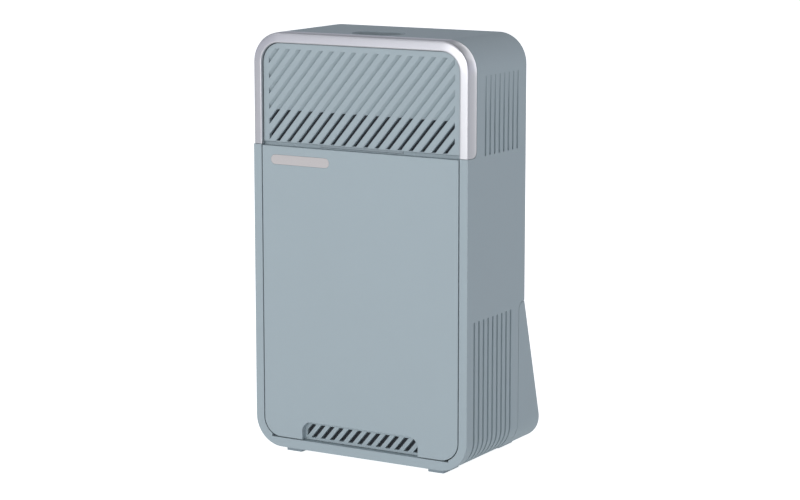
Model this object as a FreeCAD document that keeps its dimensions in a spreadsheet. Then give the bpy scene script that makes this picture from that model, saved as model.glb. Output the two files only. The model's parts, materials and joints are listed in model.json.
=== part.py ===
import FreeCAD, Part
import Sketcher
import math
import os

# Desktop network attached storage: two 2.5 inch drives stacked behind a
# lift-off door, in an upright sleeve housing with a flared rear foot.
# Millimetres. X to the right when facing the door, Y to the rear, Z up.
# Origin: centre of the footprint, on the surface the feet stand on.

os.makedirs("parts", exist_ok=True)
doc = FreeCAD.newDocument("network_storage")
V = FreeCAD.Vector
ROT = FreeCAD.Rotation

SIZES = {
    # housing
    "width": 125.0, "hull_low": 2.65, "hull_top": 217.6, "hull_round": 15.57,
    "front_y": -40.9, "rear_y": 19.5, "foot_rear_y": 40.9,
    "cover_y": 13.55, "cover_top": 80.4, "cover_round": 4.2,
    "wall": 2.3, "seam": 0.3,
    # front opening, door and drive bay
    "frame_in_x": 57.87, "frame_in_z": 7.5, "frame_round": 10.4,
    "door_half": 57.27, "door_low": 8.05, "door_top": 159.75, "door_round": 9.8,
    "door_thick": 3.2, "ledge_y": -37.6, "ledge_back_y": -35.5,
    "bay_left": -53.0, "bay_right": 52.0, "bay_top": 159.4,
    "notch_half": 34.4, "notch_top": 17.7, "notch_round": 5.3,
    "magnet_dia": 4.5, "magnet_thick": 1.15,
    # arch trim and upper grille
    "arch_low": 160.4, "arch_in_x": 57.63, "arch_in_top": 212.3,
    "arch_in_round": 10.3, "arch_rear_y": -32.05, "arch_tail_round": 3.2,
    "arch_flange": 2.1, "arch_skirt": 2.1,
    "groove_top": 161.76, "grille_recess": 1.8, "grille_thick": 2.2,
    "field_half": 54.1, "field_low": 162.2, "field_open_top": 178.2, "field_top": 209.1,
    "bar_pitch": 6.515, "bar_gap": 2.75, "bar_phase": -47.56, "bar_angle": 50.0,
    "blind_depth": 1.85, "slit_gap": 2.25,
    # lower intake grille
    "intake_half": 33.2, "intake_low": 9.1, "intake_top": 16.1,
    "intake_pitch": 5.51, "intake_gap": 2.65, "intake_phase": -27.75,
    # side vents
    "side_pitch": 4.756, "side_gap": 1.6, "side_upper_y": -23.1, "side_upper_low": 160.1,
    "side_upper_top": 199.7, "side_upper_count": 8.0, "side_upper_shallow": 0.2, "side_upper_deep": 1.1, "side_lower_y": -33.5,
    "side_lower_top": 78.5, "side_lower_count": 9.0, "side_lower_depth": 1.0,
    # top vent
    "topvent_half": 14.0, "topvent_front": -31.0, "topvent_rear": -10.6, "topvent_round": 9.5,
    # rear
    "fan_z": 150.0, "fan_size": 60.0, "fan_thick": 15.0, "fan_hole_half": 25.0,
    "rear_vent_dia": 56.0, "port_half": 50.0, "port_low": 14.0, "port_high": 46.0,
    "port_plate_y": 20.0, "port_plate_thick": 1.6,
    # drives and trays
    "drive_long": 100.45, "drive_wide": 69.85, "drive_thick": 9.5, "drive_right": 56.4,
    "drive_front_y": -33.6, "tray_sheet": 1.0, "tray_low": 11.5, "tray_step": 74.15,
    # boards
    "board_thick": 1.6, "main_front_y": -17.0, "io_low": 14.6,
    # feet
    "foot_x": 42.3, "foot_wide": 9.2, "foot_long": 16.0, "foot_high": 3.15,
    "foot_front_y": -36.5, "foot_back_y": 21.5,
}
sheet = doc.addObject("Spreadsheet::Sheet", "dims")
for row, (key, value) in enumerate(SIZES.items(), start=1):
    sheet.set("A%d" % row, key)
    sheet.set("B%d" % row, repr(value))
    sheet.setAlias("B%d" % row, key)
doc.recompute()


class Q:
    """A size that carries its number and its sheet expression."""

    def __init__(self, v, e=None):
        self.v = float(v)
        self.e = e if e is not None else "(%.6g)" % float(v)

    def _op(self, o, f, sign, swap=False):
        o = o if isinstance(o, Q) else Q(o)
        a, b = (o, self) if swap else (self, o)
        return Q(f(a.v, b.v), "(%s %s %s)" % (a.e, sign, b.e))

    def __add__(self, o):
        return self._op(o, lambda a, b: a + b, "+")

    def __radd__(self, o):
        return self._op(o, lambda a, b: a + b, "+", True)

    def __sub__(self, o):
        return self._op(o, lambda a, b: a - b, "-")

    def __rsub__(self, o):
        return self._op(o, lambda a, b: a - b, "-", True)

    def __mul__(self, o):
        return self._op(o, lambda a, b: a * b, "*")

    def __rmul__(self, o):
        return self._op(o, lambda a, b: a * b, "*", True)

    def __truediv__(self, o):
        return self._op(o, lambda a, b: a / b, "/")

    def __neg__(self):
        return Q(-self.v, "(0 - %s)" % self.e)


class Sizes:
    pass


S = Sizes()
for key, value in SIZES.items():
    setattr(S, key, Q(value, "dims." + key))


def q(x):
    return x if isinstance(x, Q) else Q(x)


def bind(obj, prop, size):
    obj.setExpression(prop, q(size).e)


def plane(body, role):
    for item in body.Origin.OriginFeatures:
        if item.Role == role:
            return item
    raise RuntimeError(role)


PLANES = {"XZ": "XZ_Plane", "YZ": "YZ_Plane", "XY": "XY_Plane"}


def new_sketch(name, side, w0, w1):
    body = doc.addObject("PartDesign::Body", name)
    sk = body.newObject("Sketcher::SketchObject", name + "_sketch")
    sk.AttachmentSupport = [(plane(body, PLANES[side]), "")]
    sk.MapMode = "FlatFace"
    off = -q(w1) if side == "XZ" else q(w0)
    sk.AttachmentOffset = FreeCAD.Placement(V(0, 0, off.v), ROT())
    sk.setExpression(".AttachmentOffset.Base.z", off.e)
    return body, sk


def pad_body(name, body, sk, w0, w1, pattern):
    pad = body.newObject("PartDesign::Pad", name + "_pad")
    pad.Profile = (sk, [""])
    pad.Length = (q(w1) - q(w0)).v
    bind(pad, "Length", q(w1) - q(w0))
    sk.Visibility = False
    body.Tip = pad
    if pattern:
        axis, count, pitch = pattern
        lin = body.newObject("PartDesign::LinearPattern", name + "_row")
        lin.Originals = [pad]
        lin.Direction = (plane(body, axis + "_Axis"), [""])
        lin.Occurrences = int(round(q(count).v))
        lin.Length = ((q(count) - 1) * q(pitch)).v
        bind(lin, "Length", (q(count) - 1) * q(pitch))
        body.Tip = lin
    return body


def datum(sk, kind, geo, pos, size, name):
    i = sk.addConstraint(Sketcher.Constraint(kind, -1, 1, geo, pos, size.v))
    sk.renameConstraint(i, name)
    sk.setExpression("Constraints." + name, size.e)


def rounded(name, side, u0, u1, v0, v1, r, w0, w1, pattern=None):
    """Prism over a rounded rectangle, sketched on one of the origin planes."""
    u0, u1, v0, v1, r = q(u0), q(u1), q(v0), q(v1), q(r)
    body, sk = new_sketch(name, side, w0, w1)
    a, b, c, d, k = u0.v, u1.v, v0.v, v1.v, r.v

    def arc(x, y, a0, a1):
        return Part.ArcOfCircle(Part.Circle(V(x, y, 0), V(0, 0, 1), k), math.radians(a0), math.radians(a1))

    seg = Part.LineSegment
    sk.addGeometry([
        seg(V(a + k, c, 0), V(b - k, c, 0)), arc(b - k, c + k, -90, 0),
        seg(V(b, c + k, 0), V(b, d - k, 0)), arc(b - k, d - k, 0, 90),
        seg(V(b - k, d, 0), V(a + k, d, 0)), arc(a + k, d - k, 90, 180),
        seg(V(a, d - k, 0), V(a, c + k, 0)), arc(a + k, c + k, 180, 270)], False)
    C = Sketcher.Constraint
    sk.addConstraint([C("Tangent", i, 2, (i + 1) % 8, 1) for i in range(8)] + [
        C("Horizontal", 0), C("Horizontal", 4), C("Vertical", 2), C("Vertical", 6),
        C("Equal", 1, 3), C("Equal", 3, 5), C("Equal", 5, 7)])
    i = sk.addConstraint(C("Radius", 1, k))
    sk.renameConstraint(i, "corner")
    sk.setExpression("Constraints.corner", r.e)
    datum(sk, "DistanceX", 2, 1, u1, "side_b")
    datum(sk, "DistanceX", 6, 1, u0, "side_a")
    datum(sk, "DistanceY", 0, 1, v0, "side_c")
    datum(sk, "DistanceY", 4, 1, v1, "side_d")
    return pad_body(name, body, sk, w0, w1, pattern)


def polygon(name, side, points, w0, w1, pattern=None):
    """Prism over a polygon whose corners are all dimensioned from the origin."""
    points = [(q(u), q(v)) for u, v in points]
    body, sk = new_sketch(name, side, w0, w1)
    n = len(points)
    sk.addGeometry([Part.LineSegment(V(points[i][0].v, points[i][1].v, 0),
                                     V(points[(i + 1) % n][0].v, points[(i + 1) % n][1].v, 0))
                    for i in range(n)], False)
    sk.addConstraint([Sketcher.Constraint("Coincident", i, 2, (i + 1) % n, 1) for i in range(n)])
    for i, (u, v) in enumerate(points):
        datum(sk, "DistanceX", i, 1, u, "across_%d" % i)
        datum(sk, "DistanceY", i, 1, v, "up_%d" % i)
    return pad_body(name, body, sk, w0, w1, pattern)


def box(name, x0, x1, y0, y1, z0, z1):
    x0, x1, y0, y1, z0, z1 = [q(a) for a in (x0, x1, y0, y1, z0, z1)]
    ob = doc.addObject("Part::Box", name)
    bind(ob, "Length", x1 - x0)
    bind(ob, "Width", y1 - y0)
    bind(ob, "Height", z1 - z0)
    bind(ob, ".Placement.Base.x", x0)
    bind(ob, ".Placement.Base.y", y0)
    bind(ob, ".Placement.Base.z", z0)
    return ob


def cyl(name, axis, x, y, z, r, length):
    """Cylinder that starts at the point and runs along +axis."""
    ob = doc.addObject("Part::Cylinder", name)
    rot = {"X": ROT(V(0, 1, 0), 90), "Y": ROT(V(1, 0, 0), -90), "Z": ROT()}[axis]
    ob.Placement = FreeCAD.Placement(V(q(x).v, q(y).v, q(z).v), rot)
    bind(ob, "Radius", r)
    bind(ob, "Height", length)
    bind(ob, ".Placement.Base.x", x)
    bind(ob, ".Placement.Base.y", y)
    bind(ob, ".Placement.Base.z", z)
    return ob


def fuse(name, *items):
    if len(items) == 1:
        return items[0]
    ob = doc.addObject("Part::MultiFuse", name)
    ob.Shapes = list(items)
    return ob


def cut(name, base, *tools):
    ob = doc.addObject("Part::Cut", name)
    ob.Base = base
    ob.Tool = fuse(name + "_tools", *tools)
    return ob


def common(name, a, b):
    ob = doc.addObject("Part::Common", name)
    ob.Base = a
    ob.Tool = b
    return ob


NODES = []


def node(label, ob):
    ob.Label = label
    NODES.append((label, ob))
    return ob


TAN = math.tan(math.radians(SIZES["bar_angle"]))


def bars(name, side, phase, pitch, gap, at, lo, hi, first, count, w0, w1):
    """Row of slanted bars; their right edges pass through phase + k*pitch at height `at`."""
    lo, hi, at, phase, pitch, gap = q(lo), q(hi), q(at), q(phase), q(pitch), q(gap)
    ub = phase + pitch * first + (lo - at) / TAN
    ut = phase + pitch * first + (hi - at) / TAN
    return polygon(name, side, [(ub - gap, lo), (ub, lo), (ut, hi), (ut - gap, hi)], w0, w1,
                   ("X", count, pitch))


def ramps(name, phase, pitch, gap, at, lo, hi, first, count, front, depth):
    """Row of slanted grooves with ramped floors, padded obliquely up the panel."""
    ub = q(phase) + q(pitch) * first + (q(lo) - q(at)) / TAN
    ob = polygon(name, "XY", [(ub - gap, front - 2), (ub, front - 2), (ub, front + depth), (ub - gap, front)],
                 lo, hi)
    pad = ob.Tip
    pad.UseCustomVector = True
    pad.Direction = V(1 / TAN, 0, 1)
    pad.AlongSketchNormal = True
    lin = ob.newObject("PartDesign::LinearPattern", name + "_row")
    lin.Originals = [pad]
    lin.Direction = (plane(ob, "X_Axis"), [""])
    lin.Occurrences = count
    lin.Length = ((count - 1) * q(pitch)).v
    bind(lin, "Length", (count - 1) * q(pitch))
    ob.Tip = lin
    return ob


half = S.width / 2
inner = half - S.wall

# ---------------------------------------------------------------- main housing
hull = rounded("hull", "XZ", -half, half, S.hull_low, S.hull_top, S.hull_round, S.front_y, S.rear_y)
cavity_lower = common("cavity_lower",
    rounded("cavity_lower_prism", "XZ", -inner, inner, S.hull_low + S.wall, S.hull_top - S.wall,
            S.hull_round - S.wall, S.ledge_back_y, 90),
    box("cavity_lower_limit", -80, 80, -90, 95, -10, S.bay_top))
cavity_upper = rounded("cavity_upper", "XZ", -inner, inner, S.hull_low + S.wall, S.hull_top - S.wall,
                       S.hull_round - S.wall, -29.7, 90)
door_pocket = common("door_pocket",
    rounded("door_pocket_prism", "XZ", -S.frame_in_x, S.frame_in_x, S.frame_in_z, 300, S.frame_round, -60, S.ledge_y),
    box("door_pocket_limit", -80, 80, -70, 0, -10, S.groove_top + 0.14))
bay_open = box("bay_open", S.bay_left, S.bay_right, -60, -35, S.frame_in_z, S.bay_top)
cover_clear = rounded("cover_clear", "YZ", S.cover_y - S.seam, 120, -60, S.cover_top + S.seam,
                      S.cover_round + S.seam, -80, 80)
collar = rounded("collar", "XZ", -inner, inner, -50, S.hull_top - S.wall, S.hull_round - S.wall, -70, 0)
arch_clear = cut("arch_clear",
    rounded("arch_clear_side", "YZ", -70, S.arch_rear_y + 0.2, S.arch_low - 0.2, 400,
            S.arch_tail_round + 0.2, -80, 80), collar)
collar_trim = box("collar_trim", -62, 62, -70, -38.7, S.arch_low - 0.2, 217)
grille_seat = rounded("grille_seat", "XZ", -S.arch_in_x, S.arch_in_x, S.groove_top - 0.26,
                      S.arch_in_top + 0.2, S.arch_in_round, -60, -36.85)
grille_foot_seat = box("grille_foot_seat", -S.arch_in_x, S.arch_in_x, -60, -36.85, S.groove_top - 0.26, 180)
upper_open = rounded("upper_open", "XZ", -55, 55, 162.0, 210.0, 0.5, -60, -28)
guide_slot = box("guide_slot", -24.2, 24.2, -60, -28, 160.2, 161.62)
shell = cut("housing_shell", hull, cavity_lower, cavity_upper, door_pocket, bay_open, cover_clear,
            arch_clear, collar_trim, grille_seat, grille_foot_seat, upper_open, guide_slot)

side_upper_row = rounded("side_upper_row", "YZ", S.side_upper_y - S.side_gap / 2, S.side_upper_y + S.side_gap / 2,
                     S.side_upper_low, S.side_upper_top, S.side_gap / 2 - 0.01, -80, 80,
                     ("Y", S.side_upper_count, S.side_pitch))
# the upper grooves are shallow at the top and deepen towards their lower ends
side_fall = (S.side_upper_deep - S.side_upper_shallow) / (S.side_upper_top - S.side_upper_low)
fall_low = half - S.side_upper_deep - side_fall * 6
fall_high = half - S.side_upper_shallow + side_fall * 6
side_upper = cut("side_upper", side_upper_row,
                 polygon("side_upper_core", "XZ", [(-fall_low, S.side_upper_low - 6), (fall_low, S.side_upper_low - 6),
                                                   (fall_high, S.side_upper_top + 6), (-fall_high, S.side_upper_top + 6)],
                         -60, 60))
side_lower_row = rounded("side_lower_row", "YZ", S.side_lower_y - S.side_gap / 2, S.side_lower_y + S.side_gap / 2,
                         -20, S.side_lower_top, S.side_gap / 2 - 0.01, -80, 80,
                         ("Y", S.side_lower_count, S.side_pitch))
groove_core = rounded("groove_core", "XZ", S.side_lower_depth - half, half - S.side_lower_depth,
                      S.hull_low + S.side_lower_depth, S.hull_top, S.hull_round - S.side_lower_depth, -60, 60)
side_lower = cut("side_lower", side_lower_row, groove_core, box("groove_stop", -48, 48, -60, 60, -40, 12))
top_seat = rounded("top_seat", "XY", -S.topvent_half, S.topvent_half, S.topvent_front, S.topvent_rear,
                   S.topvent_round, S.hull_top - 1.2, 230)
top_hole = rounded("top_hole", "XY", 1.8 - S.topvent_half, S.topvent_half - 1.8, S.topvent_front + 1.8,
                   S.topvent_rear - 1.8, S.topvent_round - 1.8, 205, 230)
floor_slots = rounded("floor_slots", "XY", -24.8, -23.2, -14, 8, 0.79, -5, 20, ("X", 9, 6.0))

# drive cage fixings, one near each corner; those on the right clear the drives' ends
CAGE_HOLES = [(-57.2, 19.0), (-57.2, 156.0), (48.5, 7.4), (57.2, 160.2)]
bosses = [box("cage_boss_left_low", -61.0, -54.2, -36.5, -22.45, 15.5, 22.5),
          box("cage_boss_left_high", -61.0, -54.2, -36.5, -22.45, 152.0, 159.5),
          box("cage_boss_right_low", 45.5, 52.0, -34.0, -22.45, 4.2, 9.8),
          box("cage_boss_right_high", 54.2, 60.3, -34.0, -22.45, 157.1, 163.4)]
for sx in (-1, 1):
    a, b = sorted((sx * 46.8, sx * 53.2))
    bosses.append(box("panel_boss_high", a, b, 6, 17.1, 202.8, 216.0))
    a, b = sorted((sx * 53.4, sx * 61.0))
    bosses.append(box("panel_boss_low", a, b, 4, 17.1, 86.0, 94.0))
    a, b = sorted((sx * 24.0, sx * 36.0))
    bosses.append(box("cover_tab_root", a, b, -2, 13.0, 4.2, 5.4))
    bosses.append(box("cover_tab", a, b, -2, 33.0, 5.2, 8.2))
    bosses.append(cyl("io_boss_front", "Z", sx * 46.0, -8, 4.2, 3.0, S.io_low - 4.2))
    bosses.append(cyl("io_boss_back", "Z", sx * 49.0, 1.5, 4.2, 3.0, S.io_low - 4.2))
pilots = [cyl("cage_pilot", "Y", x, -32, z, 1.45, 12) for x, z in CAGE_HOLES]
for sx in (-1, 1):
    pilots.append(cyl("panel_pilot_high", "Y", sx * 50.0, 8, 206.0, 1.45, 12))
    pilots.append(cyl("panel_pilot_low", "Y", sx * 56.8, 6, 90.0, 1.45, 14))
    pilots.append(cyl("cover_pilot", "Z", sx * 30.0, 27.0, 4, 1.45, 6))
    pilots.append(cyl("io_pilot_front", "Z", sx * 46.0, -8, 6, 1.45, 10))
    pilots.append(cyl("io_pilot_back", "Z", sx * 49.0, 1.5, 6, 1.45, 10))
MAGNETS = [(-55.45, 30.0), (-55.45, 146.0), (54.95, 30.0), (54.95, 146.0)]
for x, z in MAGNETS:
    pilots.append(cyl("housing_magnet_seat", "Y", x, S.ledge_y - 5, z, S.magnet_dia / 2 + 0.05, 5 + S.magnet_thick + 0.05))
foot_seats = []
for sx in (-1, 1):
    foot_seats.append(box("foot_seat", S.foot_x * sx - S.foot_wide / 2, S.foot_x * sx + S.foot_wide / 2,
                          S.foot_front_y, S.foot_front_y + S.foot_long, -5, S.foot_high))
node("main_housing", cut("housing_final", fuse("housing_bossed", shell, *bosses), side_upper, side_lower,
                         top_seat, top_hole, floor_slots, *(pilots + foot_seats)))

# ---------------------------------------------------------------- door and its parts
door_plate = common("door_plate",
    rounded("door_prism", "XZ", -S.door_half, S.door_half, S.door_low, 300, S.door_round,
            S.front_y, S.front_y + S.door_thick),
    box("door_limit", -80, 80, -60, 0, 0, S.door_top))
door_notch = rounded("door_notch", "XZ", -S.notch_half, S.notch_half, -30, S.notch_top, S.notch_round, -60, -30)
badge_seat = rounded("badge_seat", "XZ", -52.1, -17.3, 150.4, 155.4, 2.4, -50, S.front_y + 0.5)
door_back = S.front_y + S.door_thick
node("front_door", cut("front_door_cut", door_plate, door_notch, badge_seat,
                       *[cyl("door_magnet_seat", "Y", x, door_back - S.magnet_thick - 0.05, z,
                             S.magnet_dia / 2 + 0.05, 6) for x, z in MAGNETS]))
node("door_badge", rounded("badge", "XZ", -52.05, -17.35, 150.45, 155.35, 2.35, S.front_y, S.front_y + 0.5))
node("door_magnets", fuse("door_magnet_set", *[cyl("door_magnet", "Y", x, door_back - S.magnet_thick - 0.05, z,
                                                   S.magnet_dia / 2, S.magnet_thick) for x, z in MAGNETS]))
node("housing_magnets", fuse("housing_magnet_set", *[cyl("housing_magnet", "Y", x, S.ledge_y, z,
                                                         S.magnet_dia / 2, S.magnet_thick) for x, z in MAGNETS]))
intake_bars = common("intake_bars",
    bars("intake_bar_row", "XZ", S.intake_phase, S.intake_pitch, S.intake_gap, S.intake_top, 2, 24, -3, 16, -45, -30),
    box("intake_field", -S.intake_half, S.intake_half, -46, -29, S.intake_low, S.intake_top))
node("lower_grille", cut("lower_grille_cut", box("lower_grille_plate", -37, 37, door_back, door_back + 2, 7.75, 20.5),
                         intake_bars))
node("lower_filter", box("lower_filter_pad", -35, 35, door_back + 2, door_back + 2.7, 8.6, 19.0))

# ---------------------------------------------------------------- arch trim and upper grille
arch_solid = common("arch_solid",
    rounded("arch_outline", "XZ", -half, half, S.hull_low, S.hull_top, S.hull_round, S.front_y, S.arch_rear_y),
    rounded("arch_side", "YZ", -90, S.arch_rear_y, S.arch_low, 400, S.arch_tail_round, -80, 80))
arch_inside = rounded("arch_inside", "XZ", -S.arch_in_x, S.arch_in_x, 100, S.arch_in_top, S.arch_in_round, -60, 0)
arch_hollow = rounded("arch_hollow", "XZ", S.arch_skirt - half, half - S.arch_skirt, 100, S.hull_top - S.arch_skirt,
                      S.hull_round - S.arch_skirt, S.front_y + S.arch_flange, 0)
node("arch_trim", cut("arch_cut", arch_solid, arch_inside, arch_hollow))

grille_front = S.front_y + S.grille_recess
grille_back = grille_front + S.grille_thick
grille_plate = common("grille_plate",
    rounded("grille_prism", "XZ", 0.3 - S.arch_in_x, S.arch_in_x - 0.3, 100, S.arch_in_top - 0.3,
            S.arch_in_round - 0.3, grille_front, grille_back),
    box("grille_limit", -80, 80, -60, 0, S.groove_top, 300))
open_bars = common("open_bars",
    bars("open_bar_row", "XZ", S.bar_phase, S.bar_pitch, S.slit_gap, S.field_open_top, 155, 215, -6, 24, -45, -30),
    box("open_field", -S.field_half, S.field_half, -46, -29, S.field_low, S.field_open_top))
# the grooves' floors ramp down from their left edges to a step on the right; the slits open
# through the deep side of the lower ones
blind_bars = common("blind_bars",
    ramps("blind_bar_row", S.bar_phase, S.bar_pitch, S.bar_gap, S.field_open_top, 155, 215, -6, 24,
          grille_front, S.blind_depth),
    box("blind_field", -S.field_half, S.field_half, -46, -29, S.field_low, S.field_top))
node("upper_grille", cut("upper_grille_cut", grille_plate, open_bars, blind_bars))
node("upper_filter", box("upper_filter_pad", -54.6, 54.6, grille_back, grille_back + 0.7, 162.1, 180.0))

# status light: a clear bar in the groove above the door, lit from a small board
node("light_guide", box("light_guide_bar", -24, 24, S.ledge_y, -30.5, 160.35, 161.5))
node("led_board", fuse("led_board_set", box("led_board_plate", -26, 26, -29.6, -28.6, 159.7, 170.0),
                       *[box("led_chip", x - 1, x + 1, -30.4, -29.6, 160.2, 161.4) for x in (-18, -6, 6, 18)]))

# top vent insert
vent_plate = rounded("vent_plate", "XY", 0.1 - S.topvent_half, S.topvent_half - 0.1, S.topvent_front + 0.1,
                     S.topvent_rear - 0.1, S.topvent_round - 0.1, S.hull_top - 1.2, S.hull_top - 0.4)
vent_boss = rounded("vent_boss", "XY", 1.95 - S.topvent_half, S.topvent_half - 1.95, S.topvent_front + 1.95,
                    S.topvent_rear - 1.95, S.topvent_round - 1.95, S.hull_top - 2.8, S.hull_top - 1.2)
vent_field = rounded("vent_field", "XY", 2.6 - S.topvent_half, S.topvent_half - 2.6, S.topvent_front + 2.6,
                     S.topvent_rear - 2.6, S.topvent_round - 2.6, 200, 230)
vent_bars = common("vent_bars", bars("vent_bar_row", "XY", -34, 3.0, 1.5, -20, -40, 0, 0, 22, 205, 225), vent_field)
node("top_vent", cut("top_vent_cut", fuse("top_vent_body", vent_plate, vent_boss), vent_bars))

# ---------------------------------------------------------------- rear panel and rear cover
panel_plate = common("panel_plate",
    rounded("panel_prism", "XZ", 0.15 - inner, inner - 0.15, 20, S.hull_top - S.wall - 0.15,
            S.hull_round - S.wall - 0.15, S.rear_y - S.wall, S.rear_y),
    box("panel_limit", -80, 80, 0, 60, S.cover_top + 0.3, 300))
rear_bars = common("rear_bars",
    bars("rear_bar_row", "XZ", -60, S.bar_pitch, S.bar_gap + 0.4, S.fan_z, 115, 185, 0, 20, 10, 30),
    cyl("rear_field", "Y", 0, 5, S.fan_z, S.rear_vent_dia / 2, 30))
panel_cuts = [rear_bars, rounded("lock_slot", "XZ", -53.5, -46.5, 104.0, 107.0, 0.7, 0, 40)]
for sx in (-1, 1):
    for x, z in ((50.0, 206.0), (56.8, 90.0)):
        panel_cuts.append(cyl("panel_screw_hole", "Y", sx * x, 10, z, 1.6, 20))
        panel_cuts.append(cyl("panel_screw_seat", "Y", sx * x, S.rear_y - 1.3, z, 3.0, 10))
    for sz in (-1, 1):
        panel_cuts.append(cyl("fan_screw_hole", "Y", S.fan_hole_half * sx, 10, S.fan_z + S.fan_hole_half * sz, 2.2, 20))
        panel_cuts.append(cyl("fan_screw_seat", "Y", S.fan_hole_half * sx, S.rear_y - 0.9,
                              S.fan_z + S.fan_hole_half * sz, 3.6, 10))
node("rear_panel", cut("rear_panel_cut", panel_plate, *panel_cuts))

lean = (S.foot_rear_y - S.rear_y) / (S.cover_top - S.hull_low)


def slant(name, back_off, x0, x1):
    low = S.foot_rear_y + (S.hull_low + 20) * lean - back_off
    high = S.rear_y - (120 - S.cover_top) * lean - back_off
    return polygon(name, "YZ", [(-30, -20), (low, -20), (high, 120), (-30, 120)], x0, x1)


cover_outer = common("cover_outer",
    common("cover_block",
        rounded("cover_outline", "XZ", -half, half, S.hull_low, S.hull_top, S.hull_round, S.cover_y, 70),
        rounded("cover_side", "YZ", S.cover_y, 140, -60, S.cover_top, S.cover_round, -80, 80)),
    slant("cover_slant", Q(0), -80, 80))
cover_inner = common("cover_inner",
    common("cover_inner_block",
        rounded("cover_inner_outline", "XZ", -inner, inner, S.hull_low + S.wall, S.hull_top, S.hull_round - S.wall, 0, 70),
        rounded("cover_inner_side", "YZ", -60, 140, -60, S.cover_top - S.wall, S.cover_round - S.wall, -80, 80)),
    slant("cover_inner_slant", S.wall * 1.037, -80, 80))
tunnel = common("tunnel", cover_outer,
                box("tunnel_block", -S.port_half - 2.2, S.port_half + 2.2, S.port_plate_y, 70,
                    S.port_low - 2.2, S.port_high + 2.2))
cover_cuts = [box("tunnel_hole", -S.port_half, S.port_half, 0, 70, S.port_low, S.port_high)]
rear_feet_seats = []
for sx in (-1, 1):
    cover_cuts.append(cyl("cover_screw_hole", "Z", sx * 30.0, 27.0, 0, 1.6, 10))
    cover_cuts.append(cyl("cover_screw_seat", "Z", sx * 30.0, 27.0, -2, 3.1, S.hull_low + 3.2))
    cover_cuts.append(box("rear_foot_seat", S.foot_x * sx - S.foot_wide / 2, S.foot_x * sx + S.foot_wide / 2,
                          S.foot_back_y, S.foot_back_y + S.foot_long, -5, S.foot_high))
node("rear_cover", cut("rear_cover_cut",
                       fuse("rear_cover_body", cut("cover_shell", cover_outer, cover_inner), tunnel), *cover_cuts))
node("feet", fuse("feet_set", *[rounded("foot", "XY", S.foot_x * sx - S.foot_wide / 2, S.foot_x * sx + S.foot_wide / 2,
                                        y, y + S.foot_long, 0.8, 0, S.foot_high)
                                for sx in (-1, 1) for y in (S.foot_front_y, S.foot_back_y)]))

# ---------------------------------------------------------------- fan
fan_back = S.rear_y - S.wall
fan_front = fan_back - S.fan_thick
fan_body = rounded("fan_body", "XZ", -S.fan_size / 2, S.fan_size / 2, S.fan_z - S.fan_size / 2,
                   S.fan_z + S.fan_size / 2, 4.0, fan_front, fan_back)
fan_cuts = [cyl("fan_bore", "Y", 0, -5, S.fan_z, 28.6, 40)]
for sx in (-1, 1):
    for sz in (-1, 1):
        fan_cuts.append(cyl("fan_hole", "Y", S.fan_hole_half * sx, -5, S.fan_z + S.fan_hole_half * sz, 2.0, 40))
fan_bits = [cut("fan_ring", fan_body, *fan_cuts),
            cyl("fan_base", "Y", 0, fan_back - 2.4, S.fan_z, 13.0, 1.9),
            cyl("fan_post", "Y", 0, fan_back - 11.6, S.fan_z, 1.5, 10.0),
            box("fan_strut_x", -29.2, 29.2, fan_back - 2.0, fan_back - 0.5, S.fan_z - 1.2, S.fan_z + 1.2),
            box("fan_strut_z", -1.2, 1.2, fan_back - 2.0, fan_back - 0.5, S.fan_z - 29.2, S.fan_z + 29.2)]
node("fan_frame", fuse("fan_frame_set", *fan_bits))
hub = cut("fan_hub", cyl("fan_cup", "Y", 0, fan_front + 1.2, S.fan_z, 12.5, 10.6),
          cut("fan_cup_hollow", cyl("fan_cup_space", "Y", 0, fan_front + 3.2, S.fan_z, 11.0, 20),
              cyl("fan_sleeve", "Y", 0, fan_front, S.fan_z, 3.4, 30)),
          cyl("fan_sleeve_bore", "Y", 0, fan_front + 3.1, S.fan_z, 1.56, 30))
blades = []
for k in range(7):
    blade = doc.addObject("Part::Box", "fan_blade")
    blade.Length, blade.Width, blade.Height = 15.6, 11.0, 1.2
    turn = ROT(V(0, 1, 0), k * 360.0 / 7)
    tilt = turn.multiply(ROT(V(1, 0, 0), 38))
    centre = V(0, SIZES["rear_y"] - SIZES["wall"] - SIZES["fan_thick"] + 6.5, SIZES["fan_z"])
    blade.Placement = FreeCAD.Placement(centre + tilt.multVec(V(11.8, -5.5, -0.6)), tilt)
    blades.append(blade)
node("fan_rotor", fuse("fan_rotor_set", hub, *blades))

# ---------------------------------------------------------------- drive cage, trays and drives
tray_h = S.drive_wide + 0.3 + S.tray_sheet * 2
cage_parts = [box("cage_back", -54, 54, -22.4, -21.4, 10.0, 160.2)]
for z in (10.0, 84.15, 158.3):
    cage_parts.append(box("cage_shelf", -54, 51, -34.4, -21.9, z, z + 1.0))
cage_parts += [box("cage_ear_left_low", -59.9, -53.0, -22.4, -21.4, 15.5, 22.5),
               box("cage_ear_left_high", -59.9, -53.0, -22.4, -21.4, 152.0, 159.5),
               box("cage_ear_right_low", 45.5, 51.5, -22.4, -21.4, 6.0, 11.0),
               box("cage_ear_right_high", 53.0, 59.9, -22.4, -21.4, 157.1, 163.2)]
cage_cuts = [rounded("cage_window_low", "XZ", -42, 42, 24, 72, 5, -30, -10),
             rounded("cage_window_high", "XZ", -42, 42, 97, 143, 5, -30, -10)]
for x, z in CAGE_HOLES:
    cage_cuts.append(cyl("cage_screw_hole", "Y", x, -26, z, 1.6 if z > 10 else 1.45, 10))
node("drive_cage", cut("drive_cage_cut", fuse("drive_cage_body", *cage_parts), *cage_cuts))

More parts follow.
